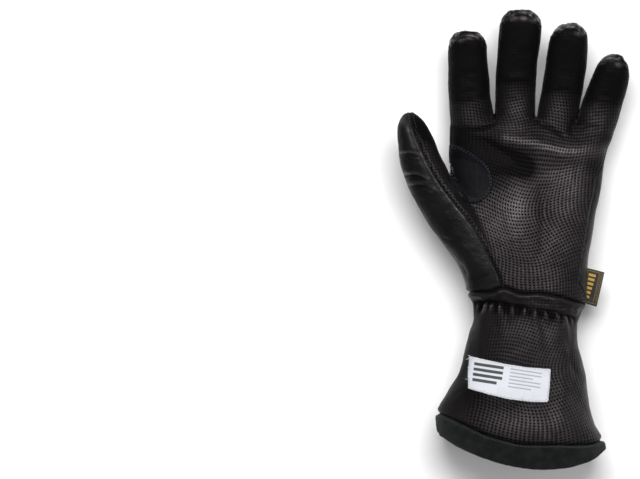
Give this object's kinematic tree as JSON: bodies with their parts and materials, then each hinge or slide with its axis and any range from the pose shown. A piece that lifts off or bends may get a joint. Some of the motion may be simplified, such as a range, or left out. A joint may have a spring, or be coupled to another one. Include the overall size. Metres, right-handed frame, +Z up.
{
  "type": "fire-resistant gauntlet glove",
  "caption": "Fire-resistant gauntlet glove, left hand, lying palm up: perforated leather palm, knit back with padded knuckle guard, elastic wrist and a long flared cuff.",
  "frame": {"origin": "middle of the glove's outline seen from above, on the surface that it lies on", "axes": "+Y from the cuff mouth to the finger tips, +X across the hand to the little-finger side, +Z up out of the palm"},
  "size_m": [0.1688, 0.3392, 0.072],
  "materials": {
    "perforated_leather": "soft full-grain leather with small punched holes, low sheen",
    "smooth_leather": "soft smooth leather with creases, semi-matt",
    "grain_leather": "leather with a fine embossed grid grain, matt",
    "suede_patch": "smooth bluish-black leather with double stitching, matt",
    "knit": "fine fire-resistant jersey knit, matt, slightly fuzzy",
    "knit_padded": "the same knit over foam ribs with sewn channels, matt",
    "badge_rubber": "moulded rubber badge, black with a raised plain yellow pattern",
    "woven_label": "woven satin label, white with a plain woven border",
    "woven_tag": "woven tag, black with gold stripes"
  },
  "bodies": {
    "root": {"palm_panel": "perforated_leather", "cuff_front": "perforated_leather", "thumb_back": "perforated_leather", "thumb_outer": "smooth_leather", "wrist_panel": "smooth_leather", "index_side": "smooth_leather", "little_side": "smooth_leather", "fourchette_index_middle": "smooth_leather", "fourchette_middle_ring": "smooth_leather", "fourchette_ring_little": "smooth_leather", "index_tip_cap": "grain_leather", "middle_tip_cap": "grain_leather", "ring_tip_cap": "grain_leather", "little_tip_cap": "grain_leather", "thumb_web_patch": "suede_patch", "back_panel": "knit", "cuff_back": "knit", "hem_band": "knit", "knuckle_guard": "knit_padded", "wrist_badge": "badge_rubber", "palm_label": "woven_label", "back_label": "woven_label", "side_tag": "woven_tag"}
  },
  "joints": []
}
